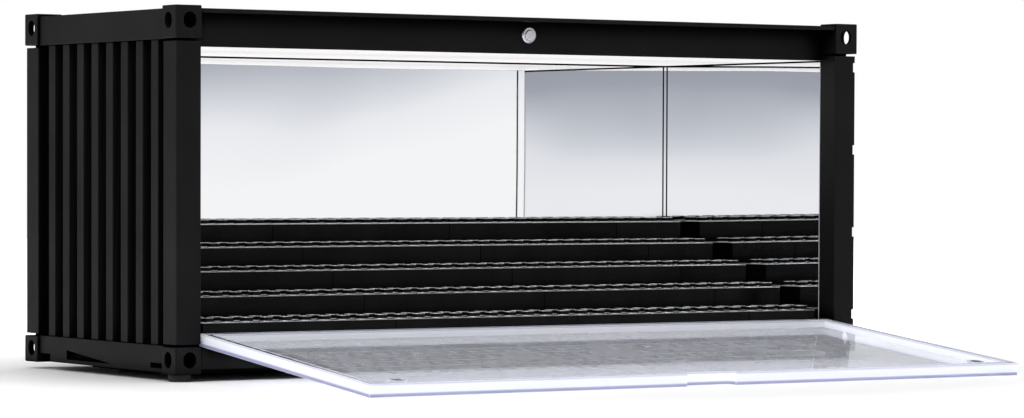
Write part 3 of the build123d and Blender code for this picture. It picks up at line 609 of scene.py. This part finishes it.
class CASE_OT_base(bpy.types.Operator):
    """Floor, pan, feet, leads and switch"""

    bl_idname = "display_case.base"
    bl_label = "Base and leads"

    def execute(self, context):
        tint, sizes = tuple(context.scene.case_colours.frame_black), context.scene.case_sizes
        matt = moulded_black("matt_black", tint, 0.6, sizes.grain_depth * 2, 1500.0)
        shade(BASE_NODES + ["switch_body"], matt)
        foot_tones = (0.3, (0.012, 0.012, 0.012), 0.75, (0.03, 0.03, 0.03))
        shade(FOOT_NODES, dark_rubber("foot_rubber", (1800.0, 4.0, 0.7), foot_tones, 0.75, 0.9, 0.00006))
        lead_tones = (0.3, (0.01, 0.01, 0.01), 0.7, (0.02, 0.02, 0.022))
        shade(LEAD_NODES, dark_rubber("lead_sheath", (700.0, 3.0, 0.6), lead_tones, 0.38, 0.5, 0.00002))
        return {"FINISHED"}


def disc(name, radius, rings=24, spokes=96):
    """Flat round floor: x = r cos a, y = r sin a, z = 0, over rings r and spokes a."""
    r = radius * (np.arange(1, rings + 1) / rings) ** 2
    a = np.linspace(0, 2 * math.pi, spokes, endpoint=False)
    ring, spoke = np.meshgrid(r, a, indexing="ij")
    points = np.stack([ring * np.cos(spoke), ring * np.sin(spoke), 0 * ring], -1).reshape(-1, 3)
    points = np.vstack([[[0, 0, 0]], points])
    i, j = np.meshgrid(np.arange(rings - 1), np.arange(spokes), indexing="ij")
    k = (j + 1) % spokes
    quads = np.stack([1 + i * spokes + j, 1 + (i + 1) * spokes + j, 1 + (i + 1) * spokes + k,
                      1 + i * spokes + k], -1).reshape(-1, 4)
    first = np.arange(spokes)
    fan = np.stack([0 * first, 1 + first, 1 + (first + 1) % spokes], -1)
    mesh = bpy.data.meshes.new(name)
    mesh.from_pydata(points.tolist(), [], quads.tolist() + fan.tolist())
    mesh.update()
    piece = bpy.data.objects.new(name, mesh)
    bpy.context.scene.collection.objects.link(piece)
    return piece


def soft_lamp(name, place, target, width, height, power):
    """Rectangular lamp that faces a point."""
    lamp = bpy.data.lights.new(name, "AREA")
    lamp.shape = "RECTANGLE"
    lamp.size = width
    lamp.size_y = height
    lamp.energy = power
    holder = bpy.data.objects.new(name, lamp)
    holder.location = place
    holder.rotation_euler = (Vector(target) - Vector(place)).to_track_quat("-Z", "Y").to_euler()
    bpy.context.scene.collection.objects.link(holder)


def picture_camera():
    """Camera at the place, turn and lens that were fitted to the picture."""
    yaw, pitch, roll = (math.radians(v) for v in (CAMERA_YAW, CAMERA_PITCH, CAMERA_ROLL))
    ahead = Vector((math.sin(yaw) * math.cos(pitch), math.cos(yaw) * math.cos(pitch), -math.sin(pitch)))
    level = Vector((math.cos(yaw), -math.sin(yaw), 0))
    upright = level.cross(ahead)
    right = level * math.cos(roll) + upright * math.sin(roll)
    up = upright * math.cos(roll) - level * math.sin(roll)
    turn = Matrix((right, up, -ahead)).transposed().to_4x4()
    lens = bpy.data.cameras.new("picture_camera")
    lens.lens = CAMERA_LENS
    lens.sensor_fit = "HORIZONTAL"
    lens.sensor_width = 36.0
    lens.shift_y = CAMERA_SHIFT_Y
    lens.clip_start = 0.05
    lens.clip_end = 50.0
    camera = bpy.data.objects.new("picture_camera", lens)
    camera.matrix_world = Matrix.Translation(Vector(CAMERA_PLACE)) @ turn
    bpy.context.scene.collection.objects.link(camera)
    return camera


class CASE_OT_stage(bpy.types.Operator):
    """Pale floor, studio surroundings, lamps and camera"""

    bl_idname = "display_case.stage"
    bl_label = "Stage and camera"

    def execute(self, context):
        scene = context.scene
        scene.view_settings.view_transform = "Standard"
        floor = disc("stage_floor", scene.case_sizes.floor_radius)
        floor.data.materials.append(pale_floor().material)
        scene.world = studio_world()
        soft_lamp("lamp_left", (-1.1, -0.5, 0.9), (-0.05, 0.0, 0.05), 1.0, 0.8, 7.0)
        soft_lamp("lamp_top", (0.1, -0.1, 1.5), (0.0, 0.0, 0.0), 1.4, 1.4, 14.0)
        scene.camera = picture_camera()
        return {"FINISHED"}


class CASE_PT_panel(bpy.types.Panel):
    """Sidebar panel that lists the pieces and their settings"""

    bl_idname = "CASE_PT_panel"
    bl_label = "Display Case"
    bl_space_type = "VIEW_3D"
    bl_region_type = "UI"
    bl_category = "Display Case"

    def draw(self, context):
        layout = self.layout
        for group in (context.scene.case_colours, context.scene.case_sizes):
            for name in group.__annotations__:
                layout.prop(group, name)
        for operator in OPERATORS:
            layout.operator(operator.bl_idname)


OPERATORS = (CASE_OT_frame, CASE_OT_stand, CASE_OT_mirrors, CASE_OT_light, CASE_OT_door, CASE_OT_hardware,
             CASE_OT_base, CASE_OT_stage)
CLASSES = (CaseColours, CaseSizes, *OPERATORS, CASE_PT_panel)


def register():
    for cls in CLASSES:
        bpy.utils.register_class(cls)
    bpy.types.Scene.case_colours = bpy.props.PointerProperty(type=CaseColours)
    bpy.types.Scene.case_sizes = bpy.props.PointerProperty(type=CaseSizes)


def unregister():
    del bpy.types.Scene.case_sizes
    del bpy.types.Scene.case_colours
    for cls in reversed(CLASSES):
        bpy.utils.unregister_class(cls)


def main():
    """Register the add-on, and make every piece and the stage."""
    register()
    for operator in OPERATORS:
        group, name = operator.bl_idname.split(".")
        getattr(getattr(bpy.ops, group), name)()
    bpy.context.view_layer.update()


if __name__ == "__main__":
    main()
